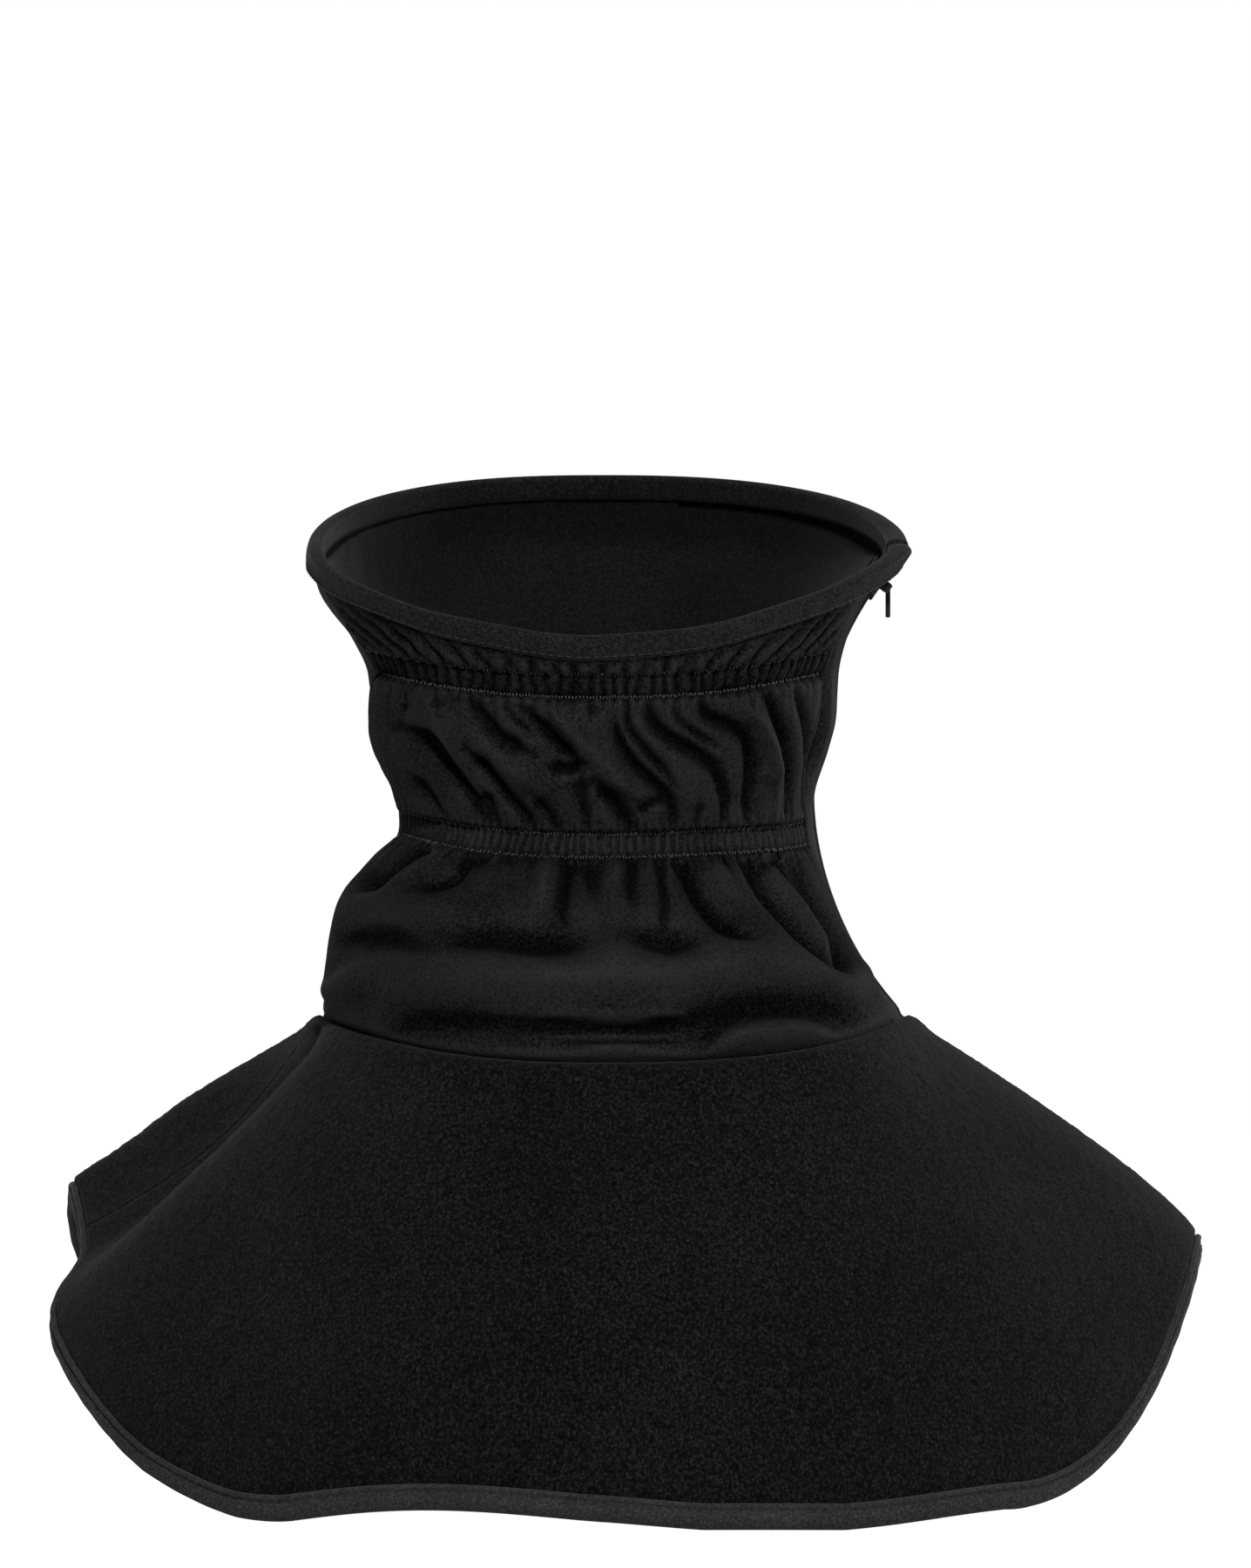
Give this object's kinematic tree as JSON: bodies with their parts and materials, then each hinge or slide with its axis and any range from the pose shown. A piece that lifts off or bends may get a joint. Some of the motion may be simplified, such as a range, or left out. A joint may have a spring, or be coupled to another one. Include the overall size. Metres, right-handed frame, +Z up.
{
  "type": "half balaclava",
  "caption": "Open-topped half balaclava: zipped mask and gathered neck panels over a fleece chest and back bib with a bound hem.",
  "frame": {"origin": "on the neck's axis, in the plane of the lowest part of the hem", "axes": "+Z up along the neck, +Y the way the wearer faces, +X the wearer's right, where the zip is"},
  "size_m": [0.3318, 0.2652, 0.303],
  "materials": {
    "softshell_gathered": "matt black softshell with a soft sheen",
    "softshell_smooth": "smooth matt black softshell",
    "lining": "brushed black lining",
    "elastic": "woven elastic tape",
    "jersey": "brushed black jersey",
    "fleece": "deep matt black fleece",
    "thread": "black sewing thread",
    "zip_tape": "woven black tape",
    "zip_coil": "black nylon",
    "zip_metal": "black painted zinc"
  },
  "bodies": {
    "garment": {"back_panel": "softshell_gathered", "side_panel_right": "softshell_smooth", "front_panel_right": "softshell_smooth", "front_panel_left": "softshell_smooth", "back_lining": "lining", "front_lining": "lining", "upper_elastic": "elastic", "lower_elastic": "elastic", "top_band": "jersey", "back_bib": "fleece", "front_bib": "fleece", "hem_binding": "jersey", "upper_channel_stitches": "thread", "lower_channel_stitches": "thread", "top_band_stitches": "thread", "hem_binding_stitches": "thread", "zip_tape_back": "zip_tape", "zip_tape_front": "zip_tape", "zip_coil_back": "zip_coil", "zip_coil_front": "zip_coil", "zip_top_stops": "zip_coil", "zip_bottom_stop": "zip_coil", "zip_guard": "lining"},
    "slider": {"zip_slider": "zip_metal"},
    "pull": {"zip_pull": "zip_metal"}
  },
  "joints": [
    {"name": "zip_travel", "type": "hinge", "parent": "garment", "child": "slider", "pos_m": [0.159, -0.006, 0.213], "axis": [0, -1, 0], "range_deg": [0, 72]},
    {"name": "pull_swing", "type": "hinge", "parent": "slider", "child": "pull", "pos_m": [0.08302, -0.006, 0.26953], "axis": [0, -1, 0], "range_deg": [-30, 110]}
  ]
}
